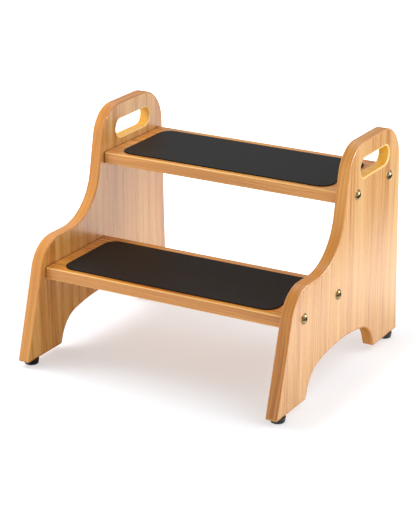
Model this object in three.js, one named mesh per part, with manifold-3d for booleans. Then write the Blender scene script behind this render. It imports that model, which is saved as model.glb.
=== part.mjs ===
// A two-step wooden step stool, built from laminated boards that bolt together.
// Units are millimetres. +X runs across the stool, +Y to the back and +Z up.
// The origin is on the floor, in the middle of the footprint.

import * as THREE from 'three';
import { mergeVertices } from 'three/addons/utils/BufferGeometryUtils.js';
import Module from 'manifold-3d';

const wasm = await Module();
wasm.setup();

// Overall sizes
const WIDTH = 360; // over the outer faces of the side panels
const DEPTH = 335; // of a side panel, along the floor
const HEIGHT = 288.5; // from the floor to the top of the hand grips
const BOARD = 15; // thickness of every board
const BAND = 2; // thickness of the edge banding
const GLUE = 0.05; // glue line between a board and its curved banding
const EDGE_RADIUS = 1.5; // rounding along the banded edges

// Side panels
const FOOT_HEIGHT = 7; // the panels stand this far off the floor
const SHOULDER_HEIGHT = 153; // top of the low part of a panel
const FOOT_LENGTH = 75; // of the front foot, along the floor
const REAR_FOOT_LENGTH = 69.5;

// Hand slot through each panel
const SLOT = { y: 84, z: 254.5, length: 81, height: 23.5, rounding: 2.25 };

// Treads
const TREAD_DEPTH = 138;
const TREAD_LENGTH = WIDTH - 2 * BOARD;
const LEVELS = {
  lower: { front: -125, top: 120.5 },
  upper: { front: 13, top: 232.5 },
};

// Step pads
const PAD = { length: 294, depth: 116, thickness: 1.5, frontMargin: 7.5, corner: 17, edge: 0.4 };

// Connector bolts, barrel nuts and dowels that hold the treads
const BOLT = { spread: 45.5, shank: 2.9, length: 50, head: 6.5, headHeight: 3, socket: 2.3, socketDepth: 1.9 };
const BARREL = { inset: 30, radius: 5, height: 10, bore: 3.1, slotWidth: 1.5, slotDepth: 1.5 };
const DOWEL = { radius: 4, length: 30, inPanel: 10, chamfer: 1 };
const CLEARANCE = 0.2; // round a bolt or a barrel nut
const DOWEL_CLEARANCE = 0.1;
const END_CLEARANCE = 0.5; // past the end of a dowel
const BOLT_RUN_OUT = 3; // past the end of a bolt

// Feet and their screws
const FOOT = { top: 9.5, bottom: 8.5, recess: 4.5, recessDepth: 3.5, bore: 1.9, frontInset: 18, rearInset: 19 };
const SCREW = { head: 3.7, headHeight: 2, shank: 1.7, length: 18, tip: 4, crossWidth: 1, crossLength: 4.4 };

// Facets
const ARC_STEPS = 4; // an arc gets twice as many straight pieces
const ROUND = 20; // sides of a turned piece
const SMALL_ROUND = 12;

const SIDES = { left: -1, right: 1 };
const PANEL_INNER = WIDTH / 2 - BOARD;
const PANEL_MIDDLE = WIDTH / 2 - BOARD / 2;

// Corner points of a side panel as its right face shows it, x to the back and y up, counterclockwise.
// Each corner is rounded to its own radius.
const FRONT = -DEPTH / 2;
const BACK = DEPTH / 2;
const SIDE_OUTLINE = [
  { x: FRONT, y: FOOT_HEIGHT, radius: 2 },
  { x: FRONT + FOOT_LENGTH, y: FOOT_HEIGHT, radius: 2 },
  { x: FRONT + 87, y: 38.5, radius: 41 },
  { x: 3, y: 56.5, radius: 285 },
  { x: BACK - 81.5, y: 38.5, radius: 41 },
  { x: BACK - REAR_FOOT_LENGTH, y: FOOT_HEIGHT, radius: 2 },
  { x: BACK, y: FOOT_HEIGHT, radius: 2 },
  { x: BACK - 11.5, y: HEIGHT, radius: 49 },
  { x: 16.5, y: HEIGHT, radius: 41 },
  { x: -10.5, y: SHOULDER_HEIGHT, radius: 67 },
  { x: -125, y: SHOULDER_HEIGHT, radius: 44 },
];

const finishes = {
  panel: { color: 0xe6bb90, roughness: 0.45, metalness: 0 },
  tread: { color: 0xe0ae7c, roughness: 0.45, metalness: 0 },
  band: { color: 0xd69a5b, roughness: 0.4, metalness: 0 },
  pad: { color: 0x2f2d2d, roughness: 0.75, metalness: 0 },
  bolt: { color: 0xa8874f, roughness: 0.3, metalness: 1 },
  barrel: { color: 0xb9bcc0, roughness: 0.35, metalness: 1 },
  dowel: { color: 0xd9b98a, roughness: 0.7, metalness: 0 },
  foot: { color: 0x161616, roughness: 0.6, metalness: 0 },
  screw: { color: 0xb9bcc0, roughness: 0.3, metalness: 1 },
};

// ---- Outlines ----

function unitStep(from, to) {
  return new THREE.Vector2(to.x - from.x, to.y - from.y).normalize();
}

// Moves every edge of an outline inwards. Outer corners get tighter and inner corners wider.
function insetOutline(corners, distance) {
  return corners.map((corner, i) => {
    const arriving = unitStep(corners.at(i - 1), corner);
    const leaving = unitStep(corner, corners[(i + 1) % corners.length]);
    const mitre = distance / (1 + arriving.dot(leaving));
    const bend = Math.sign(arriving.cross(leaving));
    return {
      x: corner.x - mitre * (arriving.y + leaving.y),
      y: corner.y + mitre * (arriving.x + leaving.x),
      radius: Math.max(0, corner.radius - bend * distance),
    };
  });
}

// Draws straight edges joined by a tangent arc at each corner.
function roundedShape(corners) {
  const shape = new THREE.Shape();
  corners.forEach((corner, i) => {
    const arriving = unitStep(corners.at(i - 1), corner);
    const leaving = unitStep(corner, corners[(i + 1) % corners.length]);
    const turn = Math.atan2(arriving.cross(leaving), arriving.dot(leaving));
    const run = corner.radius * Math.tan(Math.abs(turn) / 2);
    const start = new THREE.Vector2(corner.x - run * arriving.x, corner.y - run * arriving.y);
    if (i === 0) {
      shape.moveTo(start.x, start.y);
    } else {
      shape.lineTo(start.x, start.y);
    }
    if (corner.radius > 0) {
      const bend = Math.sign(turn);
      const centreX = start.x - bend * corner.radius * arriving.y;
      const centreY = start.y + bend * corner.radius * arriving.x;
      const startAngle = Math.atan2(start.y - centreY, start.x - centreX);
      shape.absarc(centreX, centreY, corner.radius, startAngle, startAngle + turn, turn < 0);
    }
  });
  shape.closePath();
  return shape;
}

// A slot outline with round ends, its long way along x.
function obroundShape(centreX, centreY, length, height) {
  const radius = height / 2;
  const reach = length / 2 - radius;
  const shape = new THREE.Shape();
  shape.moveTo(centreX - reach, centreY - radius);
  shape.lineTo(centreX + reach, centreY - radius);
  shape.absarc(centreX + reach, centreY, radius, -Math.PI / 2, Math.PI / 2, false);
  shape.lineTo(centreX - reach, centreY + radius);
  shape.absarc(centreX - reach, centreY, radius, Math.PI / 2, (3 * Math.PI) / 2, false);
  return shape;
}

// ---- Solids ----

function toSolid(geometry) {
  geometry.deleteAttribute('normal');
  geometry.deleteAttribute('uv');
  const merged = mergeVertices(geometry);
  return new wasm.Manifold(
    new wasm.Mesh({
      numProp: 3,
      vertProperties: merged.attributes.position.array,
      triVerts: new Uint32Array(merged.index.array),
    }),
  );
}

function toGeometry(solid) {
  const mesh = solid.getMesh();
  const geometry = new THREE.BufferGeometry();
  geometry.setAttribute('position', new THREE.BufferAttribute(mesh.vertProperties, 3));
  geometry.setIndex(new THREE.BufferAttribute(mesh.triVerts, 1));
  geometry.computeVertexNormals();
  return geometry;
}

// Turns a shape's x, y and depth to the stool's Y, Z and X.
const SIDEWAYS = new THREE.Matrix4().makeBasis(
  new THREE.Vector3(0, 1, 0),
  new THREE.Vector3(0, 0, 1),
  new THREE.Vector3(1, 0, 0),
);

// Pushes a shape drawn in Y and Z along X. The rounding is along both end edges,
// and a negative one flares the ends outwards instead.
function pushAlongX(shape, startX, length, rounding = 0) {
  const bevel = Math.abs(rounding);
  const geometry = new THREE.ExtrudeGeometry(shape, {
    depth: length - 2 * bevel,
    curveSegments: ARC_STEPS,
    bevelEnabled: bevel > 0,
    bevelThickness: bevel,
    bevelSize: rounding,
    bevelOffset: rounding > 0 ? -rounding : 0,
    bevelSegments: 2,
  });
  geometry.translate(0, 0, startX + bevel);
  geometry.applyMatrix4(SIDEWAYS);
  return geometry;
}

function box(lowX, highX, lowY, highY, lowZ, highZ) {
  const geometry = new THREE.BoxGeometry(highX - lowX, highY - lowY, highZ - lowZ);
  geometry.translate((lowX + highX) / 2, (lowY + highY) / 2, (lowZ + highZ) / 2);
  return toSolid(geometry);
}

function rodAlongX(radius, fromX, toX, y, z) {
  const geometry = new THREE.CylinderGeometry(radius, radius, Math.abs(toX - fromX), SMALL_ROUND);
  geometry.rotateZ(Math.PI / 2);
  geometry.translate((fromX + toX) / 2, y, z);
  return toSolid(geometry);
}

function rodAlongZ(radius, lowZ, highZ, x, y) {
  const geometry = new THREE.CylinderGeometry(radius, radius, highZ - lowZ, SMALL_ROUND);
  geometry.rotateX(Math.PI / 2);
  geometry.translate(x, y, (lowZ + highZ) / 2);
  return toSolid(geometry);
}

// Turns a profile of [radius, height] points round the Z axis. The profile runs counterclockwise.
function turned(profile, sides = ROUND) {
  const points = profile.map(([radius, height]) => new THREE.Vector2(radius, height));
  const geometry = new THREE.LatheGeometry(points, sides);
  geometry.rotateX(Math.PI / 2);
  return geometry;
}

// ---- The stool ----

const stool = new THREE.Group();

function addPiece(name, geometry, finish) {
  const mesh = new THREE.Mesh(geometry, new THREE.MeshStandardMaterial(finish));
  mesh.name = name;
  stool.add(mesh);
  return mesh;
}

function treadMiddle(level) {
  return level.front + TREAD_DEPTH / 2;
}

function boltRows(level) {
  return { front: treadMiddle(level) - BOLT.spread, rear: treadMiddle(level) + BOLT.spread };
}

function jointHeight(level) {
  return level.top - BOARD / 2;
}

const FOOT_ROWS = { front: FRONT + FOOT.frontInset, rear: BACK - FOOT.rearInset };

// The left edge of a panel's X range, for either side.
function panelStart(side) {
  return side > 0 ? PANEL_INNER : -WIDTH / 2;
}

function screwHoles(side) {
  const top = FOOT_HEIGHT + SCREW.length - FOOT.recessDepth + 1;
  return Object.values(FOOT_ROWS).map((y) => rodAlongZ(FOOT.bore, -1, top, side * PANEL_MIDDLE, y));
}

function cutAll(solid, cutters) {
  return cutters.reduce((rest, cutter) => rest.subtract(cutter), solid);
}

function panelCore(side) {
  const outline = roundedShape(insetOutline(SIDE_OUTLINE, BAND + GLUE));
  const board = toSolid(pushAlongX(outline, panelStart(side), BOARD));
  const slot = obroundShape(SLOT.y, SLOT.z, SLOT.length, SLOT.height);
  const cutters = [toSolid(pushAlongX(slot, panelStart(side), BOARD, -SLOT.rounding)), ...screwHoles(side)];
  for (const level of Object.values(LEVELS)) {
    const z = jointHeight(level);
    for (const y of Object.values(boltRows(level))) {
      cutters.push(rodAlongX(BOLT.shank + CLEARANCE, side * (PANEL_INNER - 1), side * (WIDTH / 2 + 1), y, z));
    }
    const socketEnd = PANEL_INNER + DOWEL.inPanel + END_CLEARANCE;
    const socketRadius = DOWEL.radius + DOWEL_CLEARANCE;
    cutters.push(rodAlongX(socketRadius, side * (PANEL_INNER - 1), side * socketEnd, treadMiddle(level), z));
  }
  return cutAll(board, cutters);
}

// The banding round a whole panel, before it is parted into strips.
function panelBandRing(side) {
  const outer = toSolid(pushAlongX(roundedShape(SIDE_OUTLINE), panelStart(side), BOARD, EDGE_RADIUS));
  const inner = roundedShape(insetOutline(SIDE_OUTLINE, BAND));
  const core = toSolid(pushAlongX(inner, panelStart(side) - 1, BOARD + 2));
  return cutAll(outer, [core, ...screwHoles(side)]);
}

function addPanel(sideName) {
  const side = SIDES[sideName];
  addPiece(`${sideName}_side_panel`, toGeometry(panelCore(side)), finishes.panel);

  const ring = panelBandRing(side);
  const startX = panelStart(side) - 1;
  const endX = startX + BOARD + 2;
  const stripTop = FOOT_HEIGHT + BAND;
  const archFront = FRONT + FOOT_LENGTH - BAND;
  const archBack = BACK - REAR_FOOT_LENGTH + BAND;
  const soles = box(startX, endX, FRONT - 1, BACK + 1, 0, stripTop);
  const frontHalf = box(startX, endX, FRONT - 1, 0, 0, stripTop);
  const arch = box(startX, endX, archFront, archBack, stripTop, SHOULDER_HEIGHT / 2);
  const strips = {
    outer_edge_band: ring.subtract(soles).subtract(arch),
    arch_edge_band: ring.intersect(arch),
    front_foot_band: ring.intersect(frontHalf),
    rear_foot_band: ring.intersect(soles).subtract(frontHalf),
  };
  for (const [stripName, strip] of Object.entries(strips)) {
    addPiece(`${sideName}_${stripName}`, toGeometry(strip), finishes.band);
  }
}

function treadBoard(level) {
  const bottom = level.top - BOARD;
  const frontY = level.front + BAND;
  const backY = level.front + TREAD_DEPTH - BAND;
  const board = box(-TREAD_LENGTH / 2, TREAD_LENGTH / 2, frontY, backY, bottom, level.top);
  const middleZ = jointHeight(level);
  const nutTop = middleZ + BARREL.height / 2 + CLEARANCE;
  const boltEnd = WIDTH / 2 - BOLT.length - BOLT_RUN_OUT;
  const dowelEnd = PANEL_INNER + DOWEL.inPanel - DOWEL.length - END_CLEARANCE;
  const cutters = [];
  for (const side of Object.values(SIDES)) {
    const outside = side * (PANEL_INNER + 1);
    for (const y of Object.values(boltRows(level))) {
      const nutX = side * (PANEL_INNER - BARREL.inset);
      cutters.push(rodAlongX(BOLT.shank + CLEARANCE, outside, side * boltEnd, y, middleZ));
      cutters.push(rodAlongZ(BARREL.radius + CLEARANCE, bottom - 1, nutTop, nutX, y));
    }
    const socketRadius = DOWEL.radius + DOWEL_CLEARANCE;
    cutters.push(rodAlongX(socketRadius, outside, side * dowelEnd, treadMiddle(level), middleZ));
  }
  return cutAll(board, cutters);
}

// One straight strip of banding on a tread. Its two outer edges are rounded.
function treadBand(level, facing) {
  const outerY = facing < 0 ? level.front : level.front + TREAD_DEPTH;
  const innerY = outerY - facing * BAND;
  const bottom = level.top - BOARD;
  const corners = [
    { x: outerY, y: bottom, radius: EDGE_RADIUS },
    { x: innerY, y: bottom, radius: 0 },
    { x: innerY, y: level.top, radius: 0 },
    { x: outerY, y: level.top, radius: EDGE_RADIUS },
  ];
  if (facing > 0) {
    corners.reverse();
  }
  return pushAlongX(roundedShape(corners), -TREAD_LENGTH / 2, TREAD_LENGTH);
}

function stepPad(level) {
  const front = level.front + PAD.frontMargin;
  const back = front + PAD.depth;
  const halfLength = PAD.length / 2;
  const outline = roundedShape([
    { x: -halfLength, y: front, radius: PAD.corner },
    { x: halfLength, y: front, radius: PAD.corner },
    { x: halfLength, y: back, radius: PAD.corner },
    { x: -halfLength, y: back, radius: PAD.corner },
  ]);
  const geometry = new THREE.ExtrudeGeometry(outline, {
    depth: PAD.thickness - PAD.edge,
    curveSegments: ARC_STEPS,
    bevelThickness: PAD.edge,
    bevelSize: PAD.edge,
    bevelOffset: -PAD.edge,
    bevelSegments: 1,
  });
  geometry.translate(0, 0, level.top);
  return trimBelow(geometry, level.top);
}

// Cuts away what hangs below a level, which leaves a flat underside.
function trimBelow(geometry, level) {
  const reach = WIDTH;
  const under = box(-reach, reach, -reach, reach, level - reach, level);
  return toGeometry(toSolid(geometry).subtract(under));
}

function addTread(levelName) {
  const level = LEVELS[levelName];
  addPiece(`${levelName}_tread`, toGeometry(treadBoard(level)), finishes.tread);
  addPiece(`${levelName}_tread_front_band`, treadBand(level, -1), finishes.band);
  addPiece(`${levelName}_tread_rear_band`, treadBand(level, 1), finishes.band);
  addPiece(`${levelName}_step_pad`, stepPad(level), finishes.pad);
}

// A connector bolt standing on its head's underside, its shank down -Z.
function connectorBolt() {
  const { head, headHeight, shank, length } = BOLT;
  const profile = [
    [0, -length],
    [shank - 0.6, -length],
    [shank, -length + 1],
    [shank, 0],
    [head, 0],
    [head, 0.6],
    [head * 0.93, 1.3],
    [head * 0.77, 2.1],
    [head * 0.56, 2.7],
    [head * 0.4, headHeight],
    [0, headHeight],
  ];
  const socket = new THREE.CylinderGeometry(BOLT.socket, BOLT.socket, 2 * BOLT.socketDepth, 6);
  socket.rotateX(Math.PI / 2);
  socket.translate(0, 0, headHeight);
  return toGeometry(toSolid(turned(profile)).subtract(toSolid(socket)));
}

// A steel barrel nut on end, with a cross hole for the bolt and a slot that a screwdriver turns.
function barrelNut() {
  const { radius, height, bore, slotWidth, slotDepth } = BARREL;
  const cutters = [
    rodAlongX(bore, -radius - 1, radius + 1, 0, 0),
    box(-radius - 1, radius + 1, -slotWidth / 2, slotWidth / 2, -height, slotDepth - height / 2),
  ];
  return toGeometry(cutAll(rodAlongZ(radius, -height / 2, height / 2, 0, 0), cutters));
}

// A fluted-wood dowel, taken as plain, with both ends chamfered.
function dowel() {
  const { radius, length, chamfer } = DOWEL;
  const half = length / 2;
  const profile = [
    [0, -half],
    [radius - chamfer, -half],
    [radius, -half + chamfer],
    [radius, half - chamfer],
    [radius - chamfer, half],
    [0, half],
  ];
  return turned(profile, SMALL_ROUND);
}

function addTreadFasteners(levelName, sideName) {
  const level = LEVELS[levelName];
  const side = SIDES[sideName];
  const z = jointHeight(level);
  for (const [rowName, y] of Object.entries(boltRows(level))) {
    const bolt = addPiece(`${levelName}_${sideName}_${rowName}_bolt`, connectorBolt(), finishes.bolt);
    bolt.position.set((side * WIDTH) / 2, y, z);
    bolt.rotation.y = (side * Math.PI) / 2;
    const nut = addPiece(`${levelName}_${sideName}_${rowName}_barrel_nut`, barrelNut(), finishes.barrel);
    nut.position.set(side * (PANEL_INNER - BARREL.inset), y, z);
  }
  const pin = addPiece(`${levelName}_${sideName}_dowel`, dowel(), finishes.dowel);
  pin.position.set(side * (PANEL_INNER + DOWEL.inPanel - DOWEL.length / 2), treadMiddle(level), z);
  pin.rotation.y = (side * Math.PI) / 2;
}

// A tapered rubber foot with a recess below for its screw.
function rubberFoot() {
  const { top, bottom, recess, recessDepth, bore } = FOOT;
  const profile = [
    [bore, recessDepth],
    [recess, recessDepth],
    [recess, 0],
    [bottom - 1.2, 0],
    [bottom - 0.4, 0.35],
    [bottom, 1.1],
    [top, FOOT_HEIGHT - 1],
    [top, FOOT_HEIGHT],
    [bore, FOOT_HEIGHT],
    [bore, recessDepth],
  ];
  return turned(profile);
}

// A wood screw driven upwards, its head's top on the recess of a foot.
function footScrew() {
  const { head, headHeight, shank, length, tip, crossWidth, crossLength } = SCREW;
  const profile = [
    [0, -headHeight],
    [head - 1, -headHeight],
    [head, -headHeight + 0.8],
    [head, 0],
    [shank, 0],
    [shank, length - tip],
    [0, length],
  ];
  const crossTop = crossWidth - headHeight;
  const half = crossWidth / 2;
  const reach = crossLength / 2;
  const slots = [
    box(-reach, reach, -half, half, -2 * headHeight, crossTop),
    box(-half, half, -reach, reach, -2 * headHeight, crossTop),
  ];
  return toGeometry(cutAll(toSolid(turned(profile, SMALL_ROUND)), slots));
}

function addFoot(sideName, rowName) {
  const x = SIDES[sideName] * PANEL_MIDDLE;
  const y = FOOT_ROWS[rowName];
  const foot = addPiece(`${sideName}_${rowName}_foot`, rubberFoot(), finishes.foot);
  foot.position.set(x, y, 0);
  const screw = addPiece(`${sideName}_${rowName}_foot_screw`, footScrew(), finishes.screw);
  screw.position.set(x, y, FOOT.recessDepth);
}

for (const sideName of Object.keys(SIDES)) {
  addPanel(sideName);
}
for (const levelName of Object.keys(LEVELS)) {
  addTread(levelName);
  for (const sideName of Object.keys(SIDES)) {
    addTreadFasteners(levelName, sideName);
  }
}
for (const sideName of Object.keys(SIDES)) {
  for (const rowName of Object.keys(FOOT_ROWS)) {
    addFoot(sideName, rowName);
  }
}

export default stool;
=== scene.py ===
"""A two-step wooden step stool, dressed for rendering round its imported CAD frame.

The stool's shapes are drawn in millimetres and turned to metres when they become pieces. The floor,
the lights and the camera are in metres. X runs across the stool, Y to the back and Z up, as in the
CAD. Every piece rides on the stool's one body.
"""

import math

import bmesh
import bpy
from mathutils import Matrix, Vector


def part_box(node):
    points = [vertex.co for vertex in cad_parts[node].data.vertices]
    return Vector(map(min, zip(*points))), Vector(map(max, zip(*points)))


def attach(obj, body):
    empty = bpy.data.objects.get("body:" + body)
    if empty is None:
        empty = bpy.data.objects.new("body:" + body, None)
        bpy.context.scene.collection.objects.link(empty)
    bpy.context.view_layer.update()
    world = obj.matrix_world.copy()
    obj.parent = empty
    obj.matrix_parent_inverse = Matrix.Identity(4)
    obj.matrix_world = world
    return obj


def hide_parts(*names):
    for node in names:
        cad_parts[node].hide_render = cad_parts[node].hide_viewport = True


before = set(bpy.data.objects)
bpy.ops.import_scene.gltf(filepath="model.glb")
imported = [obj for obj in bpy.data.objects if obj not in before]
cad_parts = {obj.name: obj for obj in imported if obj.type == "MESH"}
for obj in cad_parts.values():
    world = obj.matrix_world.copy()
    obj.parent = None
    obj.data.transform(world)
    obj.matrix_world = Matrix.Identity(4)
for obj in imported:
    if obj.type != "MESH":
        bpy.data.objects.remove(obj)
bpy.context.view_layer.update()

MM = 0.001
X, Y, Z = 0, 1, 2
BODY = "root"

# Fineness of the meshes
CHORD = 1.6  # longest straight piece of a large arc
TURN = math.radians(11)  # largest turn between two pieces of a small arc
MOST_PIECES = 60  # in one arc
EDGE_PIECES = 6  # in the rounded edge of a panel or a pad
LIP_PIECES = 8  # in the rounded lip of a hand slot
SLOT_PIECES = 16  # in each corner of a hand slot
PAD_PIECES = 14  # in each corner of a pad
ROUND_SIDES = 56  # round a bolt, a nut or a foot
ROD_SIDES = 40  # round a hole or a screw
THIN_ROD_SIDES = 24  # round a screw hole
SHARP = math.radians(38)  # faces that turn more than this meet in a sharp edge
WELD = 1e-4  # points nearer than this become one
OVERCUT = 1.0  # how far a cutter goes past the surface that it cuts

# Side panels, as in the CAD
BAND = 2.0  # thickness of the banding
GLUE = 0.05  # between banding and board
EDGE_RADIUS = 1.5
BOARD_CHAMFER = 0.12
FOOT_HEIGHT = 7.0
JOINT_GAP = 0.05  # half the hairline between two strips of banding
JOINT_EASE = 0.15  # chamfer on both sides of that hairline
DEPTH = 335.0
FRONT = -DEPTH / 2
BACK = DEPTH / 2
TOP = 288.5
SHOULDER = 153.0
SIDE_OUTLINE = [  # y, z and rounding of each corner, counterclockwise
    (FRONT, FOOT_HEIGHT, 2),
    (FRONT + 75, FOOT_HEIGHT, 2),
    (FRONT + 87, 38.5, 41),
    (3, 56.5, 285),
    (BACK - 81.5, 38.5, 41),
    (BACK - 69.5, FOOT_HEIGHT, 2),
    (BACK, FOOT_HEIGHT, 2),
    (BACK - 11.5, TOP, 49),
    (16.5, TOP, 41),
    (-10.5, SHOULDER, 67),
    (-125, SHOULDER, 44),
]
SLOT = {"y": 84.0, "z": 254.5, "length": 81.0, "height": 23.5, "lip": 2.25}

# Treads and pads
TREAD_GAP = 0.4  # between the end of a tread and the panel
TREAD_EASE = 0.3  # chamfer round the end of a tread
SEAM_SHADE_WIDTH = 1.1  # how far in from its ends a tread is darkened where it meets a panel, painted shade of the seam
PAD_CORNER = 17.0
PAD_EDGE = 0.6  # rounding of a pad's upper edge
PAD_CHAMFER = 0.15  # on a pad's lower edge
EMBOSS_PITCH = 3.2  # from one diamond of the pads' emboss to the next

# Holes for the fasteners, as in the CAD
BOLT_HOLE = 3.1
NUT_HOLE = 5.2
DOWEL_HOLE = 4.1
SCREW_HOLE = 1.9
NUT_CLEARANCE = 0.2
END_CLEARANCE = 0.5
BOLT_RUN_OUT = 3.0

# Where each piece of wood is cut from the endless grain, so that no two show the same streaks
PANEL_GRAIN = Vector((300, 40, 900))
BAND_GRAIN = 4000
TREAD_GRAIN = {"lower": 2600, "upper": 1700}
TREAD_BAND_GRAIN = {"lower": 6300, "upper": 5200}
DOWEL_GRAIN = 8000

SIDES = {"left": -1, "right": 1}
LEVELS = ("lower", "upper")
ROWS = ("front", "rear")


# ---- Places in the CAD ----


def cad_box(node):
    """Lowest and highest corner of a CAD node, in millimetres."""
    low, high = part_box(node)
    return low / MM, high / MM


def cad_middle(node):
    """Middle of a CAD node, in millimetres."""
    low, high = cad_box(node)
    return (low + high) / 2


def cad_ends(node, side):
    """Where a node on one side of the stool starts and ends along X, the inner end first."""
    low, high = cad_box(node)
    return (low.x, high.x) if side > 0 else (high.x, low.x)


# ---- Outlines ----


def steps_at(corners, i):
    """Unit steps into and out of a corner."""
    before = corners[i - 1]
    here = corners[i]
    after = corners[(i + 1) % len(corners)]
    arriving = Vector((here[0] - before[0], here[1] - before[1])).normalized()
    leaving = Vector((after[0] - here[0], after[1] - here[1])).normalized()
    return arriving, leaving


def turn_at(corners, i):
    """Angle by which the outline turns left at a corner."""
    arriving, leaving = steps_at(corners, i)
    return math.atan2(arriving.x * leaving.y - arriving.y * leaving.x, arriving.dot(leaving))


def inset(corners, distance):
    """Moves every edge of an outline inwards by a distance."""
    moved = []
    for i, (u, v, radius) in enumerate(corners):
        arriving, leaving = steps_at(corners, i)
        mitre = distance / (1 + arriving.dot(leaving))
        bend = math.copysign(1, arriving.x * leaving.y - arriving.y * leaving.x)
        u -= mitre * (arriving.y + leaving.y)
        v += mitre * (arriving.x + leaving.x)
        moved.append((u, v, max(0.0, radius - bend * distance)))
    return moved


def arc_steps(corners):
    """How many straight pieces each corner's arc gets, none for a sharp corner."""
    counts = []
    for i, (_, _, radius) in enumerate(corners):
        turn = abs(turn_at(corners, i))
        pieces = math.ceil(min(max(radius * turn / CHORD, turn / TURN), MOST_PIECES))
        counts.append(max(1, pieces) if radius > 0 else 0)
    return counts


def rounded_loop(corners, counts=None):
    """Points along an outline whose corners are rounded by tangent arcs."""
    counts = counts or arc_steps(corners)
    points = []
    for i, (u, v, radius) in enumerate(corners):
        if counts[i] == 0:
            points.append(Vector((u, v)))
            continue
        arriving, _ = steps_at(corners, i)
        turn = turn_at(corners, i)
        run = radius * math.tan(abs(turn) / 2)
        bend = math.copysign(1, turn)
        start = Vector((u, v)) - run * arriving
        centre = start + bend * radius * Vector((-arriving.y, arriving.x))
        for k in range(counts[i] + 1):
            turned_by = Matrix.Rotation(turn * k / counts[i], 2)
            points.append(centre + turned_by @ (start - centre))
    return points


def run_lengths(points):
    """Distance from the first point to each one along the line, and once round."""
    total = 0.0
    lengths = [total]
    for here, there in zip(points, points[1:] + points[:1]):
        total += (there - here).length
        lengths.append(total)
    return lengths


def rectangle(low_u, high_u, low_v, high_v, radius):
    """Outline of a rectangle with rounded corners."""
    return [
        (low_u, low_v, radius),
        (high_u, low_v, radius),
        (high_u, high_v, radius),
        (low_u, high_v, radius),
    ]


def quarter_round(radius, pieces):
    """Distances of each point of a rounded edge from the two faces that it joins."""
    angles = [math.pi / 2 * k / pieces for k in range(pieces + 1)]
    return [(radius * (1 - math.cos(a)), radius * (1 - math.sin(a))) for a in angles]


def angles_round(count):
    """Angles of evenly spaced points round a circle."""
    return [2 * math.pi * k / count for k in range(count)]


# ---- Shapes ----


def loft(sections, grain=None, closed=False):
    """Joins loops of 3-D points, each with as many points, by quads.

    Open lofts get their first and last loop filled. Grain gives, for a section and a point on it,
    where they lie across and along the wood's grain.
    """
    shape = bmesh.new()
    layer = shape.loops.layers.float_vector.new("grain")
    rings = [[shape.verts.new(point) for point in section] for section in sections]
    size = len(rings[0])
    last = len(rings) if closed else len(rings) - 1
    for i in range(last):
        for j in range(size):
            places = ((i, j), (i, j + 1), (i + 1, j + 1), (i + 1, j))
            face = shape.faces.new([rings[a % len(rings)][b % size] for a, b in places])
            if grain:
                for loop, (a, b) in zip(face.loops, places):
                    loop[layer] = grain(a, b)
    if not closed:
        shape.faces.new(rings[0])
        shape.faces.new(rings[-1])
    bmesh.ops.remove_doubles(shape, verts=shape.verts, dist=WELD)
    bmesh.ops.recalc_face_normals(shape, faces=shape.faces)
    return shape


def inset_loops(outline, sections, counts):
    """The place of each section, and the outline drawn in by the section's inset."""
    counts = counts or arc_steps(outline)
    return [(place, rounded_loop(inset(outline, distance), counts)) for place, distance in sections]


def along_x(outline, sections, counts=None):
    """Loops of an outline in Y and Z at each (x, inset) of the sections."""
    loops = inset_loops(outline, sections, counts)
    return [[Vector((x, p.x, p.y)) for p in points] for x, points in loops]


def along_z(outline, sections, counts=None):
    """Loops of an outline in X and Y at each (z, inset) of the sections."""
    loops = inset_loops(outline, sections, counts)
    return [[Vector((p.x, p.y, z)) for p in points] for z, points in loops]


def turned(corners, sides=ROUND_SIDES):
    """Turns a closed outline of (radius, height, rounding) corners round the Z axis."""
    shape = bmesh.new()
    shape.loops.layers.float_vector.new("grain")
    rings = []
    for point in rounded_loop(corners):
        ring = []
        for angle in angles_round(1 if point.x < WELD else sides):
            place = (point.x * math.cos(angle), point.x * math.sin(angle), point.y)
            ring.append(shape.verts.new(place))
        rings.append(ring)
    for low, high in zip(rings, rings[1:] + rings[:1]):
        if len(low) == 1 and len(high) == 1:
            continue
        for k in range(sides):
            face = [low[k % len(low)], low[(k + 1) % len(low)]]
            face += [high[(k + 1) % len(high)], high[k % len(high)]]
            shape.faces.new(list(dict.fromkeys(face)))
    bmesh.ops.remove_doubles(shape, verts=shape.verts, dist=WELD)
    bmesh.ops.recalc_face_normals(shape, faces=shape.faces)
    return shape


def stand(shape, place, outward=None):
    """Moves a shape made at the origin to its place, its +Z turned to the left or right side."""
    turn = Matrix.Identity(4)
    if outward:
        turn = Vector((outward, 0, 0)).to_track_quat("Z", "Y").to_matrix().to_4x4()
    bmesh.ops.transform(shape, matrix=Matrix.Translation(place) @ turn, verts=shape.verts)
    return shape


def rod(radius, start, end, sides=ROD_SIDES):
    """A plain round cutter between two points."""
    start, end = Vector(start), Vector(end)
    length = (end - start).length
    shape = turned([(0, 0, 0), (radius, 0, 0), (radius, length, 0), (0, length, 0)], sides)
    turn = (end - start).to_track_quat("Z", "Y").to_matrix().to_4x4()
    bmesh.ops.transform(shape, matrix=Matrix.Translation(start) @ turn, verts=shape.verts)
    return shape


def rod_along_x(radius, start, end, middle):
    """A plain round cutter from one X to another, in line with a point."""
    return rod(radius, (start, middle.y, middle.z), (end, middle.y, middle.z))


def prism(radius, low, high, sides):
    """A cutter with flat sides, standing along Z."""
    loops = []
    for z in (low, high):
        angles = angles_round(sides)
        loops.append([Vector((radius * math.cos(a), radius * math.sin(a), z)) for a in angles])
    return loft(loops)


def block(low, high):
    """A box-shaped cutter."""
    corners = rectangle(low[X], high[X], low[Y], high[Y], 0)
    return loft(along_z(corners, ((low[Z], 0), (high[Z], 0))))


def as_object(name, shape):
    """Turns a shape into an object of the scene."""
    mesh = bpy.data.meshes.new(name)
    shape.to_mesh(mesh)
    shape.free()
    made = bpy.data.objects.new(name, mesh)
    bpy.context.scene.collection.objects.link(made)
    return made


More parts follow.
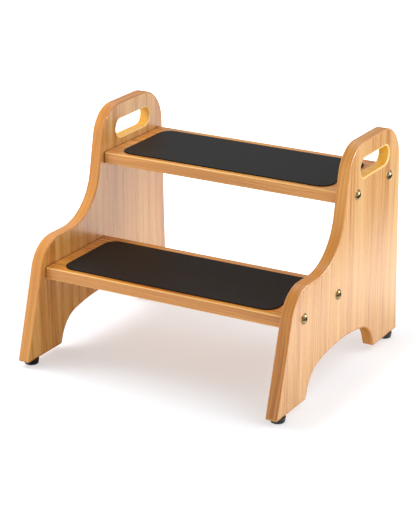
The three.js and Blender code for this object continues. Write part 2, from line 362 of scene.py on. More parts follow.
def carve(shape, cutters):
    """Cuts cutters out of a shape."""
    body = as_object("carving", shape)
    tools = [as_object("carving", cutter) for cutter in cutters]
    for tool in tools:
        modifier = body.modifiers.new("cut", "BOOLEAN")
        modifier.operation = "DIFFERENCE"
        modifier.solver = "EXACT"
        modifier.object = tool
    graph = bpy.context.evaluated_depsgraph_get()
    result = bmesh.new()
    result.from_mesh(body.evaluated_get(graph).to_mesh())
    for item in (body, *tools):
        mesh = item.data
        bpy.data.objects.remove(item)
        bpy.data.meshes.remove(mesh)
    return result


def mark_sharp(shape):
    """Shades every face smooth and keeps the edges between strongly turned faces sharp."""
    for face in shape.faces:
        face.smooth = True
    for edge in shape.edges:
        edge.smooth = len(edge.link_faces) == 2 and edge.calc_face_angle(0) < SHARP


def set_grain(shape, across, through, along, offset):
    """Marks where each point lies in the wood, given the axes across, through and along its grain."""
    layers = shape.loops.layers.float_vector
    layer = layers.get("grain") or layers.new("grain")
    for face in shape.faces:
        for loop in face.loops:
            point = loop.vert.co
            place = Vector((point[across], point[through], point[along]))
            loop[layer] = (place + offset) * MM


def make_piece(name, shape, materials, replaced):
    """Turns a shape in millimetres into a piece of the stool."""
    mark_sharp(shape)
    bmesh.ops.scale(shape, vec=(MM, MM, MM), verts=shape.verts)
    piece = as_object(name, shape)
    for material in materials:
        piece.data.materials.append(material)
    modifier = piece.modifiers.new("flat faces stay flat", "WEIGHTED_NORMAL")
    modifier.keep_sharp = True
    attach(piece, BODY)
    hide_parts(*replaced)
    return piece


# ---- Materials ----


class Shader:
    """A material's node graph, built one node at a time."""

    def __init__(self, name):
        self.material = bpy.data.materials.new(name)
        self.material.use_nodes = True
        self.tree = self.material.node_tree
        self.tree.nodes.clear()

    def add(self, kind, inputs=None, **settings):
        """Adds a node with its settings, and sets or links its inputs."""
        node = self.tree.nodes.new(kind)
        for key, value in settings.items():
            setattr(node, key, value)
        for key, value in (inputs or {}).items():
            if isinstance(value, bpy.types.NodeSocket):
                self.tree.links.new(value, node.inputs[key])
            else:
                node.inputs[key].default_value = value
        return node

    def grain(self):
        """Where a point lies in the wood."""
        return self.add("ShaderNodeAttribute", attribute_name="grain").outputs["Vector"]

    def place(self):
        """Where a point lies on its object."""
        return self.add("ShaderNodeTexCoord").outputs["Object"]

    def separate(self, vector):
        """The X, Y and Z of a vector."""
        return self.add("ShaderNodeSeparateXYZ", {0: vector}).outputs

    def noise(self, vector, scale, detail=2.0, roughness=0.5):
        """Noise with about so many spots per metre along each axis."""
        inputs = {"Vector": vector, "Scale": scale}
        stretched = self.add("ShaderNodeMapping", inputs).outputs["Vector"]
        inputs = {"Vector": stretched, "Scale": 1.0, "Detail": detail, "Roughness": roughness}
        return self.add("ShaderNodeTexNoise", inputs).outputs["Fac"]

    def even_noise(self, scale, detail=2.0):
        """Noise of the same fineness along each axis of the object."""
        return self.noise(self.place(), (scale, scale, scale), detail)

    def maths(self, operation, first, second=0.0, third=0.0):
        """The result of one sum."""
        node = self.add("ShaderNodeMath", {0: first, 1: second, 2: third}, operation=operation)
        return node.outputs[0]

    def ramp(self, factor, low, high):
        """Goes smoothly from 0 to 1 while a factor goes from low to high."""
        inputs = {"Value": factor, "From Min": low, "From Max": high}
        node = self.add("ShaderNodeMapRange", inputs, interpolation_type="SMOOTHSTEP")
        return node.outputs["Result"]

    def mix(self, factor, first, second):
        """Goes from the first colour to the second while a factor goes from 0 to 1."""
        inputs = {0: factor, 6: opaque(first), 7: opaque(second)}
        return self.add("ShaderNodeMix", inputs, data_type="RGBA").outputs[2]

    def bump(self, height, depth, strength):
        """A normal from a height whose whole range is a depth in millimetres."""
        inputs = {"Height": height, "Distance": depth * MM, "Strength": strength}
        return self.add("ShaderNodeBump", inputs).outputs["Normal"]

    def finish(self, inputs):
        """Ends the graph in a surface with these inputs."""
        surface = self.add("ShaderNodeBsdfPrincipled", inputs)
        output = self.add("ShaderNodeOutputMaterial")
        self.tree.links.new(surface.outputs["BSDF"], output.inputs["Surface"])
        return self.material


def opaque(colour):
    """A red, green and blue with full alpha. A socket stays as it is."""
    return (*colour, 1.0) if isinstance(colour, tuple) else colour


def from_srgb(colour):
    """Linear colour from 0-255 display values."""
    values = [c / 255 for c in colour]
    return tuple(c / 12.92 if c <= 0.04045 else ((c + 0.055) / 1.055) ** 2.4 for c in values)


def wood(name, light, mid, dark, fine_width, contrast, roughness, ior):
    """Straight-grained wood or printed laminate, its streaks running along the grain's third axis.

    The three tones are 0-255 display values, and the finest streaks' width is in millimetres.
    """
    light, mid, dark = (from_srgb(tone) for tone in (light, mid, dark))
    shader = Shader(name)
    grain = shader.grain()
    wander = 0.02  # metres that a streak drifts to the side
    drift = shader.maths("SUBTRACT", shader.noise(grain, (12, 12, 4)), 0.5)
    aside = shader.add("ShaderNodeCombineXYZ", {"X": shader.maths("MULTIPLY", drift, wander)})
    inputs = {0: grain, 1: aside.outputs[0]}
    bent = shader.add("ShaderNodeVectorMath", inputs, operation="ADD").outputs[0]
    fine = 1 / (fine_width * MM)
    layers = (  # spots per metre across, through and along the grain, and strength
        ((24, 12, 1.8), 1.0),
        ((75, 30, 2.6), 1.3),
        ((fine * 0.33, 60, 4), 1.0),
        ((fine, 200, 12), 0.85),
    )
    value = 0.5
    for scale, strength in layers:
        streaks = shader.noise(bent, scale, detail=1.5, roughness=0.6)
        swing = shader.maths("SUBTRACT", streaks, 0.5)
        value = shader.maths("MULTIPLY_ADD", swing, strength * contrast, value)
    pore = shader.ramp(shader.noise(bent, (fine * 1.6, 500, 150), detail=1), 0.62, 0.76)
    tone = shader.mix(shader.ramp(value, 0.1, 0.5), dark, mid)
    tone = shader.mix(shader.ramp(value, 0.5, 0.9), tone, light)
    tone = shader.mix(shader.maths("MULTIPLY", pore, contrast * 0.55), tone, dark)
    halved = [shader.maths("MULTIPLY", height, 0.5) for height in (value, pore)]
    relief = shader.maths("SUBTRACT", *halved)
    return shader.finish({
        "Base Color": tone,
        "Roughness": shader.maths("MULTIPLY_ADD", value, 0.12, roughness),
        "Normal": shader.bump(relief, 0.06, 0.6),
        "IOR": ior,
    })


def lacquer(name, light, dark):
    """The yellow lacquer of the hand slots, its tones as 0-255 display values."""
    shader = Shader(name)
    cloud = shader.even_noise(70, detail=3)
    orange_peel = shader.even_noise(900)
    return shader.finish({
        "Base Color": shader.mix(shader.ramp(cloud, 0.3, 0.7), from_srgb(light), from_srgb(dark)),
        "Roughness": shader.maths("MULTIPLY_ADD", cloud, 0.12, 0.24),
        "Normal": shader.bump(orange_peel, 0.04, 0.5),
        "IOR": 1.5,
    })


def pad_rubber():
    """Black non-slip sheet with a fine diamond emboss, its hollows darker and its studs lighter as
    painted shade and highlight.
    """
    shader = Shader("pad_sheet")
    x, y, _ = shader.separate(shader.place())
    diagonal_pitch = EMBOSS_PITCH * MM * math.sqrt(2)
    waves = []
    for operation in ("ADD", "SUBTRACT"):
        diagonal = shader.maths(operation, x, y)
        phase = shader.maths("MULTIPLY", diagonal, 2 * math.pi / diagonal_pitch)
        waves.append(shader.maths("SINE", phase))
    studs = shader.maths("MULTIPLY", *waves)
    grit = shader.even_noise(2500)
    height = shader.maths("MULTIPLY_ADD", grit, 0.5, studs)
    # Hollows of the emboss are darker and its studs lighter: painted shade and highlight
    shaded_hollow_tone = (0.0025, 0.0022, 0.002)
    lit_stud_tone = (0.0125, 0.0113, 0.0108)
    return shader.finish({
        "Base Color": shader.mix(shader.ramp(studs, -0.6, 0.6), shaded_hollow_tone, lit_stud_tone),
        "Roughness": shader.maths("MULTIPLY_ADD", grit, 0.1, 0.42),
        "Normal": shader.bump(height, 0.12, 0.6),
        "IOR": 1.5,
        "Specular IOR Level": 0.12,
    })


def metal(name, bright, dull, roughness):
    """Plated metal, slightly cloudy, its tones as linear colours."""
    shader = Shader(name)
    cloud = shader.even_noise(400, detail=3)
    grit = shader.even_noise(4000)
    return shader.finish({
        "Base Color": shader.mix(shader.ramp(cloud, 0.35, 0.7), bright, dull),
        "Metallic": 1.0,
        "Roughness": shader.maths("MULTIPLY_ADD", cloud, 0.14, roughness),
        "Normal": shader.bump(grit, 0.02, 0.4),
    })


def foot_rubber():
    """Matt black rubber."""
    shader = Shader("foot_moulding")
    grit = shader.even_noise(1800)
    cloud = shader.even_noise(90)
    return shader.finish({
        "Base Color": shader.mix(cloud, (0.004, 0.004, 0.004), (0.010, 0.0095, 0.009)),
        "Roughness": shader.maths("MULTIPLY_ADD", grit, 0.15, 0.38),
        "Normal": shader.bump(grit, 0.04, 0.5),
        "IOR": 1.5,
    })


PANEL_WOOD = wood("panel_laminate", (213, 164, 96), (199, 143, 71), (176, 112, 46),
                  fine_width=1.5, contrast=0.95, roughness=0.22, ior=1.8)
TREAD_WOOD = wood("tread_laminate", (222, 156, 65), (203, 131, 44), (166, 91, 22),
                  fine_width=1.5, contrast=1.0, roughness=0.22, ior=1.62)
BAND_WOOD = wood("edge_banding", (211, 150, 72), (193, 127, 52), (152, 86, 29),
                 fine_width=0.9, contrast=0.75, roughness=0.2, ior=1.62)
# Paler banding on the rounded edges of the treads: a painted highlight
EDGE_HIGHLIGHT_WOOD = wood("banding_painted_highlight", (240, 196, 128), (230, 180, 106), (206, 150, 78),
                 fine_width=0.9, contrast=0.7, roughness=0.24, ior=1.55)
# Dark wood at the ends of the treads, where they meet the panels: painted shade of the seam
SEAM_SHADE_WOOD = wood("painted_seam_shade", (122, 66, 26), (104, 54, 20), (82, 40, 14),
                 fine_width=1.5, contrast=0.6, roughness=0.4, ior=1.4)
DOWEL_WOOD = wood("beech", (222, 188, 142), (210, 172, 124), (176, 132, 86),
                  fine_width=0.8, contrast=0.5, roughness=0.5, ior=1.45)
LACQUER = lacquer("slot_lacquer", (220, 166, 60), (208, 151, 50))
# Paler lacquer on the rounded lips of the hand slots: a painted highlight
LIP_HIGHLIGHT_LACQUER = lacquer("slot_lip_painted_highlight", (236, 196, 118), (228, 184, 102))
PAD_RUBBER = pad_rubber()
BRASS = metal("brass_plate", (0.34, 0.255, 0.13), (0.15, 0.105, 0.05), roughness=0.1)
STEEL = metal("zinc_plate", (0.62, 0.63, 0.64), (0.45, 0.46, 0.47), roughness=0.28)
FOOT_RUBBER = foot_rubber()


# ---- Side panels ----


def panel_sides(side_name):
    """The inner and the outer face of a panel along X."""
    return cad_ends(f"{side_name}_side_panel", SIDES[side_name])


def slot_cutter(inner, outer):
    """Cuts a hand slot whose edges are rounded over."""
    outward = math.copysign(1, outer - inner)
    lip = SLOT["lip"]
    half_length = SLOT["length"] / 2
    half_height = SLOT["height"] / 2
    outline = rectangle(SLOT["y"] - half_length, SLOT["y"] + half_length,
                        SLOT["z"] - half_height, SLOT["z"] + half_height, half_height)
    rounding = quarter_round(lip, LIP_PIECES)
    sections = [(outer + outward * OVERCUT, -lip)]
    sections += [(outer - outward * depth, -flare) for depth, flare in rounding]
    sections += [(inner + outward * depth, -flare) for depth, flare in reversed(rounding)]
    sections += [(inner - outward * OVERCUT, -lip)]
    return loft(along_x(outline, sections, [SLOT_PIECES] * len(outline)))


def screw_cutters(side_name):
    """Cuts the holes of the two foot screws under a panel."""
    cutters = []
    for row in ROWS:
        screw = f"{side_name}_{row}_foot_screw"
        middle = cad_middle(screw)
        _, high = cad_box(screw)
        start = (middle.x, middle.y, -OVERCUT)
        end = (middle.x, middle.y, high.z + OVERCUT)
        cutters.append(rod(SCREW_HOLE, start, end, THIN_ROD_SIDES))
    return cutters


def paint_slot(board):
    """Gives the faces inside the hand slot the second material and its rounded lips the third, paler
    one: a painted highlight.
    """
    margin = 0.1
    flat = 0.9999  # a face of the panel itself is turned sideways by more than this
    lip = 0.3  # a face of a rounded lip by more than this
    reach_y = SLOT["length"] / 2 + SLOT["lip"] + margin
    reach_z = SLOT["height"] / 2 + SLOT["lip"] + margin
    for face in board.faces:
        middle = face.calc_center_median()
        sideways = abs(face.normal.x)
        near = abs(middle.y - SLOT["y"]) < reach_y and abs(middle.z - SLOT["z"]) < reach_z
        if near and sideways < flat:
            face.material_index = 2 if sideways > lip else 1


def add_panel_board(side_name):
    """A panel's board, with its hand slot and the holes for its fasteners."""
    node = f"{side_name}_side_panel"
    side = SIDES[side_name]
    inner, outer = panel_sides(side_name)
    before, past = inner - side * OVERCUT, outer + side * OVERCUT
    cutters = [slot_cutter(inner, outer), *screw_cutters(side_name)]
    for level in LEVELS:
        for row in ROWS:
            bolt = cad_middle(f"{level}_{side_name}_{row}_bolt")
            cutters.append(rod_along_x(BOLT_HOLE, before, past, bolt))
        dowel = f"{level}_{side_name}_dowel"
        _, dowel_end = cad_ends(dowel, side)
        deepest = dowel_end + side * END_CLEARANCE
        cutters.append(rod_along_x(DOWEL_HOLE, before, deepest, cad_middle(dowel)))
    edge = BAND + GLUE
    sections = [
        (inner, edge + BOARD_CHAMFER),
        (inner + side * BOARD_CHAMFER, edge),
        (outer - side * BOARD_CHAMFER, edge),
        (outer, edge + BOARD_CHAMFER),
    ]
    board = carve(loft(along_x(SIDE_OUTLINE, sections)), cutters)
    paint_slot(board)
    set_grain(board, Y, X, Z, PANEL_GRAIN * side)
    materials = (PANEL_WOOD, LACQUER, LIP_HIGHLIGHT_LACQUER)
    make_piece(f"{side_name}_panel_board", board, materials, (node,))


def band_ring(side_name):
    """The banding round a whole panel, before it is parted into strips."""
    side = SIDES[side_name]
    inner, outer = panel_sides(side_name)
    rounding = quarter_round(EDGE_RADIUS, EDGE_PIECES)
    sections = [(inner, BAND)]
    sections += [(inner + side * depth, distance) for depth, distance in rounding]
    sections += [(outer - side * depth, distance) for depth, distance in reversed(rounding)]
    sections += [(outer, BAND)]
    across = run_lengths([Vector(section) for section in sections])
    along = run_lengths(rounded_loop(SIDE_OUTLINE))
    shift = BAND_GRAIN * side

    def grain(section, point):
        return Vector((across[section] + shift, 0, along[point] + shift)) * MM

    return loft(along_x(SIDE_OUTLINE, sections), grain, closed=True)


def connected_parts(shape):
    """Groups the faces of a shape into its connected parts."""
    left = set(shape.faces)
    groups = []
    for seed in shape.faces:
        if seed not in left:
            continue
        left.remove(seed)
        group = {seed}
        waiting = [seed]
        while waiting:
            face = waiting.pop()
            beside = {other for edge in face.edges for other in edge.link_faces} & left
            left -= beside
            group |= beside
            waiting += beside
        groups.append(group)
    return groups


def keep_faces(shape, keep):
    """A copy of a shape with only some of its faces."""
    numbers = {face.index for face in keep}
    part = shape.copy()
    gone = [face for face in part.faces if face.index not in numbers]
    bmesh.ops.delete(part, geom=gone, context="FACES")
    return part


def cut_level(shape, height, keep_above):
    """Cuts a shape at a height, keeps one part and closes it with a slightly eased edge."""
    geometry = shape.verts[:] + shape.edges[:] + shape.faces[:]
    bmesh.ops.bisect_plane(shape, geom=geometry, plane_co=(0, 0, height), plane_no=(0, 0, 1),
                           clear_inner=keep_above, clear_outer=not keep_above, dist=WELD)
    rim = [edge for edge in shape.edges if edge.is_boundary]
    bmesh.ops.holes_fill(shape, edges=rim, sides=0)
    near = 10 * WELD
    eased = [edge for edge in shape.edges if all(abs(v.co.z - height) < near for v in edge.verts)]
    bmesh.ops.bevel(shape, geom=eased, offset=JOINT_EASE, offset_type="OFFSET", segments=1,
                    profile=0.5, affect="EDGES", clamp_overlap=True)
    bmesh.ops.recalc_face_normals(shape, faces=shape.faces)
    shape.faces.index_update()
    return shape


def add_panel_bands(side_name):
    """A panel's four strips of banding: the outer one, the arch and one under each foot."""
    joint = FOOT_HEIGHT + BAND
    upper = cut_level(band_ring(side_name), joint + JOINT_GAP, True)
    soles = cut_level(band_ring(side_name), joint - JOINT_GAP, False)
    strips = {}
    for group in connected_parts(upper):
        top = max(vert.co.z for face in group for vert in face.verts)
        kind = "outer_edge_band" if top > SHOULDER else "arch_edge_band"
        strips[kind] = keep_faces(upper, group)
    for group in connected_parts(soles):
        middle = sum(face.calc_center_median().y for face in group) / len(group)
        kind = "front_foot_band" if middle < 0 else "rear_foot_band"
        strips[kind] = carve(keep_faces(soles, group), screw_cutters(side_name))
    for kind, strip in strips.items():
        node = f"{side_name}_{kind}"
        make_piece(f"{side_name}_{kind}_strip", strip, (BAND_WOOD,), (node,))


# ---- Treads ----


def tread_cutters(level):
    """Cuts the holes of a tread's bolts, nuts and dowels."""
    low, _ = cad_box(f"{level}_tread")
    cutters = []
    for side_name, side in SIDES.items():
        _, end = cad_ends(f"{level}_tread", side)
        past = end + side * OVERCUT
        for row in ROWS:
            bolt = f"{level}_{side_name}_{row}_bolt"
            tip, _ = cad_ends(bolt, side)
            run_out = tip - side * BOLT_RUN_OUT
            cutters.append(rod_along_x(BOLT_HOLE, past, run_out, cad_middle(bolt)))
            nut = f"{level}_{side_name}_{row}_barrel_nut"
            middle = cad_middle(nut)
            _, nut_high = cad_box(nut)
            start = (middle.x, middle.y, low.z - OVERCUT)
            cutters.append(rod(NUT_HOLE, start, (middle.x, middle.y, nut_high.z + NUT_CLEARANCE)))
        dowel = f"{level}_{side_name}_dowel"
        dowel_end, _ = cad_ends(dowel, side)
        deepest = dowel_end - side * END_CLEARANCE
        cutters.append(rod_along_x(DOWEL_HOLE, past, deepest, cad_middle(dowel)))
    return cutters


def tread_ends(node):
    """Where a board or strip of a tread starts and ends along X."""
    low, high = cad_box(node)
    return low.x + TREAD_GAP, high.x - TREAD_GAP


def tread_loft(outline, start, end):
    """A board or strip of a tread, with eased ends and, at both, a narrow strip for the painted shade of
    the seam.
    """
    sections = [(start, TREAD_EASE), (start + TREAD_EASE, 0), (start + SEAM_SHADE_WIDTH, 0)]
    sections += [(end - SEAM_SHADE_WIDTH, 0), (end - TREAD_EASE, 0), (end, TREAD_EASE)]
    return loft(along_x(outline, sections))


def shade_ends(shape, start, end, material):
    """Gives the narrow strips at both ends of a tread the dark material that paints the shade in the
    seam.
    """
    for face in shape.faces:
        middle = face.calc_center_median()
        if min(middle.x - start, end - middle.x) < SEAM_SHADE_WIDTH:
            face.material_index = material


def paint_edge_highlight(strip):
    """Gives the rounded edges of a tread's banding the second, paler material: a painted highlight."""
    upright = 0.25
    level = 0.97
    strip.normal_update()
    for face in strip.faces:
        if upright < abs(face.normal.z) < level:
            face.material_index = 1


def add_tread_board(level):
    """A tread's board, with the holes for its fasteners."""
    node = f"{level}_tread"
    low, high = cad_box(node)
    start, end = tread_ends(node)
    outline = rectangle(low.y, high.y, low.z, high.z, 0)
    board = carve(tread_loft(outline, start, end), tread_cutters(level))
    shade_ends(board, start, end, 1)
    shift = TREAD_GRAIN[level]
    set_grain(board, Y, Z, X, Vector((shift, shift, shift)))
    make_piece(f"{level}_tread_board", board, (TREAD_WOOD, SEAM_SHADE_WOOD), (node,))


def add_tread_band(level, row):
    """A strip of banding along a tread, its two outer edges rounded."""
    node = f"{level}_tread_{row}_band"
    low, high = cad_box(node)
    start, end = tread_ends(node)
    round_front = EDGE_RADIUS if row == "front" else 0
    round_back = EDGE_RADIUS if row == "rear" else 0
    outline = [
        (low.y, low.z, round_front),
        (high.y, low.z, round_back),
        (high.y, high.z, round_back),
        (low.y, high.z, round_front),
    ]
    strip = tread_loft(outline, start, end)
    shift = TREAD_BAND_GRAIN[level]
    set_grain(strip, Z, Y, X, Vector((shift, 0, shift)))
    paint_edge_highlight(strip)
    shade_ends(strip, start, end, 2)
    make_piece(f"{node}_strip", strip, (BAND_WOOD, EDGE_HIGHLIGHT_WOOD, SEAM_SHADE_WOOD), (node,))


def add_pad(level):
    """A thin sheet with round corners and a softly rounded upper edge."""
    node = f"{level}_step_pad"
    low, high = cad_box(node)
    outline = rectangle(low.x, high.x, low.y, high.y, PAD_CORNER)
    sections = [(low.z, PAD_CHAMFER), (low.z + PAD_CHAMFER, 0)]
    sections += [(high.z - drop, distance) for distance, drop in quarter_round(PAD_EDGE, EDGE_PIECES)]
    pad = loft(along_z(outline, sections, [PAD_PIECES] * len(outline)))
    make_piece(f"{level}_pad_sheet", pad, (PAD_RUBBER,), (node,))


# ---- Fasteners and feet ----


def add_bolt(level, side_name, row):
    """A connector bolt with a domed head and a hex socket."""
    node = f"{level}_{side_name}_{row}_bolt"
    low, high = cad_box(node)
    middle = cad_middle(node)
    side = SIDES[side_name]
    _, outer = panel_sides(side_name)
    tip, crown = cad_ends(node, side)
    head = (high.y - low.y) / 2
    tall = abs(crown - outer)
    length = abs(outer - tip)
    shank = 2.9
    corners = [
        (0, -length, 0),
        (shank - 0.5, -length, 0.2),
        (shank, -length + 1, 0.2),
        (shank, 0, 0),
        (head, 0, 0.1),
        (head, 0.45, 0.3),
        (head * 0.9, 1.45, 3.0),
        (head * 0.66, 2.5, 4.0),
        (head * 0.42, tall, 1.2),
        (0, tall, 0),
    ]
    socket = 2.3
    socket_depth = 2.7
    hexagon = prism(socket, tall - socket_depth, tall + OVERCUT, 6)
    mouth_low = tall - 0.35
    mouth_high = tall + 0.15
    mouth = turned([
        (0, mouth_low, 0),
        (socket - 0.25, mouth_low, 0),
        (socket + 0.25, mouth_high, 0),
        (0, mouth_high, 0),
    ])
    body = carve(turned(corners), [hexagon, mouth])
    stand(body, (outer, middle.y, middle.z), side)
    make_piece(f"{level}_{side_name}_{row}_connector_bolt", body, (BRASS,), (node,))


def add_nut(level, side_name, row):
    """A barrel nut, with a cross hole and a screwdriver slot below."""
    node = f"{level}_{side_name}_{row}_barrel_nut"
    low, high = cad_box(node)
    radius = (high.x - low.x) / 2
    half = (high.z - low.z) / 2
    edge = 0.5
    slot_half_width = 0.75
    slot_depth = 1.5
    body = turned([(0, -half, 0), (radius, -half, edge), (radius, half, edge), (0, half, 0)])
    past = radius + OVERCUT
    cross = rod(BOLT_HOLE, (-past, 0, 0), (past, 0, 0))
    slot = block((-past, -slot_half_width, -half - OVERCUT), (past, slot_half_width, -half + slot_depth))
    body = carve(body, [cross, slot])
    stand(body, cad_middle(node))
    make_piece(f"{level}_{side_name}_{row}_cross_nut", body, (STEEL,), (node,))


def add_dowel(level, side_name):
    """A fluted beech dowel with tapered ends."""
    node = f"{level}_{side_name}_dowel"
    low, high = cad_box(node)
    half = (high.x - low.x) / 2
    radius = 4.0
    taper = 1.0
    flutes = 16
    flute_depth = 0.24
    ends = [(-half, radius - taper), (-half + taper, radius)]
    ends += [(half - taper, radius), (half, radius - taper)]
    sections = []
    for x, reach in ends:
        ring = []
        for angle in angles_round(flutes * 4):
            dip = flute_depth / 2 * (1 - math.cos(angle * flutes)) if reach == radius else 0.0
            ring.append(Vector((x, (reach - dip) * math.cos(angle), (reach - dip) * math.sin(angle))))
        sections.append(ring)
    body = loft(sections)
    stand(body, cad_middle(node))
    set_grain(body, Y, Z, X, Vector((DOWEL_GRAIN, 0, DOWEL_GRAIN)))
    make_piece(f"{level}_{side_name}_fluted_dowel", body, (DOWEL_WOOD,), (node,))


def add_foot(side_name, row):
    """A tapered rubber foot, hollow below for its screw."""
    node = f"{side_name}_{row}_foot"
    middle = cad_middle(node)
    recess = 4.5
    recess_height = 3.5
    sole = 8.5
    rim = 9.5
    rim_height = 0.6
    body = turned([
        (SCREW_HOLE, recess_height, 0),
        (recess, recess_height, 0.3),
        (recess, 0, 0.5),
        (sole, 0, 1.3),
        (rim, FOOT_HEIGHT - rim_height, 0.5),
        (rim, FOOT_HEIGHT, 0.15),
        (SCREW_HOLE, FOOT_HEIGHT, 0),
    ])
    stand(body, (middle.x, middle.y, 0))
    make_piece(f"{side_name}_{row}_rubber_foot", body, (FOOT_RUBBER,), (node,))


def add_screw(side_name, row):
    """The screw that holds a foot, its cross slot facing down."""
    node = f"{side_name}_{row}_foot_screw"
    low, _ = cad_box(node)
    middle = cad_middle(node)
    head = 3.7
    head_height = 2.0
    shank = 1.7
    length = 18.0
    tip = 4.0
    body = turned([
        (0, -head_height, 0),
        (head - 0.9, -head_height, 0.7),
        (head, -head_height + 1, 0.4),
        (head, 0, 0.1),
        (shank, 0, 0),
        (shank, length - tip, 0.5),
        (0, length, 0),
    ], ROD_SIDES)
    cross_reach = 2.2
    cross_half_width = 0.5
    cross_depth = 1.0
    below = -head_height - 2 * OVERCUT
    crosses = []
    for x, y in ((cross_reach, cross_half_width), (cross_half_width, cross_reach)):
        crosses.append(block((-x, -y, below), (x, y, -head_height + cross_depth)))
    body = carve(body, crosses)
    stand(body, (middle.x, middle.y, low.z + head_height))
    make_piece(f"{side_name}_{row}_wood_screw", body, (STEEL,), (node,))


for side_name in SIDES:
    add_panel_board(side_name)
    add_panel_bands(side_name)
    for row in ROWS:
        add_foot(side_name, row)
        add_screw(side_name, row)
for level in LEVELS:
    add_tread_board(level)
    add_pad(level)
    for row in ROWS:
        add_tread_band(level, row)
    for side_name in SIDES:
        add_dowel(level, side_name)
        for row in ROWS:
            add_bolt(level, side_name, row)
            add_nut(level, side_name, row)


# ---- Floor, light and camera, in metres ----

FLOOR_SIZE = 8.0
HALF_WIDTH = 0.18  # of the stool
HALF_DEPTH = DEPTH * MM / 2
# Distances from the stool over which the floor turns white
PALE_NEAR = (0.02, 0.15)  # to its right and back
PALE_FAR = (0.06, 0.5)  # to its left and front
FLOOR_TONE = (0.575, 0.6, 0.635)
FLOOR_GLOW = 0.4  # of the whole floor
WHITE_RIGHT_BACK = 1.4  # further glow where it turns white
WHITE_LEFT_FRONT = 0.68
CARD_HEIGHT = 0.002
# Each card is a painted dark reflection, seen only in gloss; the one under the stool paints the shade of
# the floor beneath it
FLAGS = (  # lowest and highest x and y of each dark card, and how light it is
    ((0.37, -0.9), (1.2, 1.3), 0.05),
    ((-0.17, -0.17), (0.17, 0.17), 0.1),
)
AIM = Vector((0, 0, 0.12))  # what the lights are turned to
# Most strengths and powers below come from a fit to the photo's brightness, the rest from trying
SKY = (  # azimuth, elevation, sharpness and strength of each pool of light
    (0, 12, 10, 0.52),
    (45, 12, 10, 0.95),
    (90, 12, 10, 0.75),
    (135, 12, 10, 1.28),
    (225, 12, 10, 0.34),
    (270, 12, 10, 2.08),
    (315, 12, 10, 1.05),
    (112, 50, 8, 2.7),
    (202, 50, 8, 1.23),
    (292, 50, 8, 0.43),
)
SOFTBOXES = (  # azimuth, elevation, distance, size and power of lights that leave no gloss
    (-75, 35, 0.7, 0.35, 2.9),
    (-35, 8, 0.6, 0.25, 0.41),
    (100, 20, 0.9, 0.5, 0.32),
)
GLOSS_SOFTBOX = (122, 10, 0.9, 0.16, 4.0)  # the same of the one that shows only in gloss
CAMERA_PLACE = (1.0777, -1.92585, 0.92942)
CAMERA_COMPASS = (29.35, 20.13)  # azimuth and elevation of the camera as the stool sees it
CAMERA_ROLL = math.radians(0.23)
CAMERA_LENS = 130.6  # millimetres, on a sensor 36 mm wide


def add_floor():
    """A pale floor that turns plain white away from the stool."""
    shape = bmesh.new()
    bmesh.ops.create_grid(shape, x_segments=4, y_segments=4, size=FLOOR_SIZE / 2)
    floor = as_object("floor", shape)
    shader = Shader("floor")
    x, y, _ = shader.separate(shader.place())
    right = shader.maths("SUBTRACT", x, HALF_WIDTH)
    back = shader.maths("SUBTRACT", y, HALF_DEPTH)
    left = shader.maths("SUBTRACT", shader.maths("MULTIPLY", x, -1), HALF_WIDTH)
    front = shader.maths("SUBTRACT", shader.maths("MULTIPLY", y, -1), HALF_DEPTH)
    to_right_back = shader.ramp(shader.maths("MAXIMUM", right, back), *PALE_NEAR)
    to_left_front = shader.ramp(shader.maths("MAXIMUM", left, front), *PALE_FAR)
    away = shader.maths("MAXIMUM", to_right_back, to_left_front)
    glow = shader.maths("MULTIPLY_ADD", to_right_back, WHITE_RIGHT_BACK, FLOOR_GLOW)
    glow = shader.maths("MULTIPLY_ADD", to_left_front, WHITE_LEFT_FRONT, glow)
    floor.data.materials.append(shader.finish({
        "Base Color": shader.mix(away, FLOOR_TONE, (0, 0, 0)),
        "Roughness": 0.7,
        "Emission Color": (1, 1, 1, 1),
        "Emission Strength": glow,
    }))


def add_flag(low, high, tone):
    """A dark card on the floor that shows only in the gloss of the boards: a painted dark reflection."""
    shape = bmesh.new()
    corners = rectangle(low[X], high[X], low[Y], high[Y], 0)
    shape.faces.new([shape.verts.new((x, y, CARD_HEIGHT)) for x, y, _ in corners])
    flag = as_object("flag", shape)
    flag.visible_camera = False
    flag.visible_diffuse = False
    flag.visible_shadow = False
    material = Shader("flag").finish({"Base Color": (tone, tone, tone, 1), "Roughness": 0.9})
    flag.data.materials.append(material)


def from_compass(azimuth, elevation):
    """Unit vector towards a light. Azimuth 0 is in front of the stool and 90 at its right."""
    turn = math.radians(azimuth)
    rise = math.radians(elevation)
    return Vector((math.sin(turn) * math.cos(rise), -math.cos(turn) * math.cos(rise), math.sin(rise)))


def add_softbox(azimuth, elevation, distance, size, power, gloss=False):
    """A square light turned to the stool, which shows either only in gloss or never in it."""
    place = AIM + from_compass(azimuth, elevation) * distance
    data = bpy.data.lights.new("softbox", "AREA")
    data.shape = "SQUARE"
    data.size = size
    data.energy = power
    light = bpy.data.objects.new("softbox", data)
    light.location = place
    light.visible_camera = False
    light.visible_glossy = gloss
    light.visible_diffuse = not gloss
    light.rotation_euler = (AIM - place).to_track_quat("-Z", "Y").to_euler()
    bpy.context.scene.collection.objects.link(light)


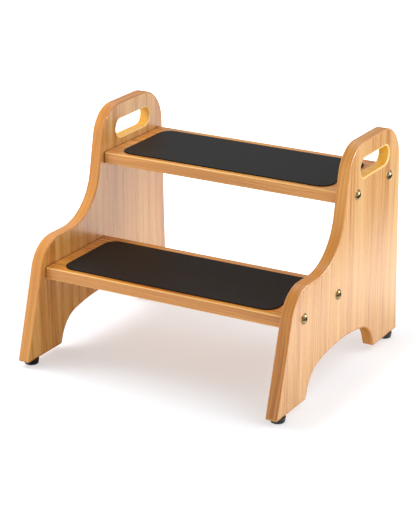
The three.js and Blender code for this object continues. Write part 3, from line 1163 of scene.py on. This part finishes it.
def add_sky():
    """A white studio: soft pools of light round the stool, and plain white behind it."""
    world = bpy.data.worlds.new("studio")
    bpy.context.scene.world = world
    world.use_nodes = True
    tree = world.node_tree
    tree.nodes.clear()

    def maths(operation, first, second):
        node = tree.nodes.new("ShaderNodeMath")
        node.operation = operation
        for socket, value in zip(node.inputs, (first, second)):
            if isinstance(value, bpy.types.NodeSocket):
                tree.links.new(value, socket)
            else:
                socket.default_value = value
        return node.outputs[0]

    ray = tree.nodes.new("ShaderNodeTexCoord").outputs["Generated"]
    total = 0.0
    for azimuth, elevation, sharpness, strength in SKY:
        dot = tree.nodes.new("ShaderNodeVectorMath")
        dot.operation = "DOT_PRODUCT"
        tree.links.new(ray, dot.inputs[0])
        dot.inputs[1].default_value = from_compass(azimuth, elevation)
        facing = maths("MAXIMUM", dot.outputs["Value"], 0.0)
        pool = maths("MULTIPLY", maths("POWER", facing, sharpness), strength)
        total = maths("ADD", pool, total)
    seen = tree.nodes.new("ShaderNodeLightPath").outputs["Is Camera Ray"]
    lit = maths("MULTIPLY", total, maths("SUBTRACT", 1.0, seen))
    background = tree.nodes.new("ShaderNodeBackground")
    background.inputs["Color"].default_value = (1, 1, 1, 1)
    tree.links.new(maths("ADD", lit, seen), background.inputs["Strength"])
    output = tree.nodes.new("ShaderNodeOutputWorld")
    tree.links.new(background.outputs[0], output.inputs[0])


def add_camera():
    """The camera at the photograph's place, looking down at the stool and slightly rolled."""
    data = bpy.data.cameras.new("camera")
    data.sensor_width = 36.0
    data.lens = CAMERA_LENS
    data.clip_start = 0.05
    data.clip_end = 50.0
    camera = bpy.data.objects.new("camera", data)
    camera.location = CAMERA_PLACE
    looking = -from_compass(*CAMERA_COMPASS)
    right = looking.cross(Vector((0, 0, 1))).normalized()
    up = right.cross(looking)
    rolled_right = math.cos(CAMERA_ROLL) * right + math.sin(CAMERA_ROLL) * up
    rolled_up = math.cos(CAMERA_ROLL) * up - math.sin(CAMERA_ROLL) * right
    turn = Matrix((rolled_right, rolled_up, -looking)).transposed()
    camera.rotation_euler = turn.to_euler()
    bpy.context.scene.collection.objects.link(camera)
    bpy.context.scene.camera = camera


add_floor()
for flag in FLAGS:
    add_flag(*flag)
for softbox in SOFTBOXES:
    add_softbox(*softbox)
add_softbox(*GLOSS_SOFTBOX, gloss=True)
add_sky()
add_camera()
bpy.context.scene.view_settings.view_transform = "Standard"
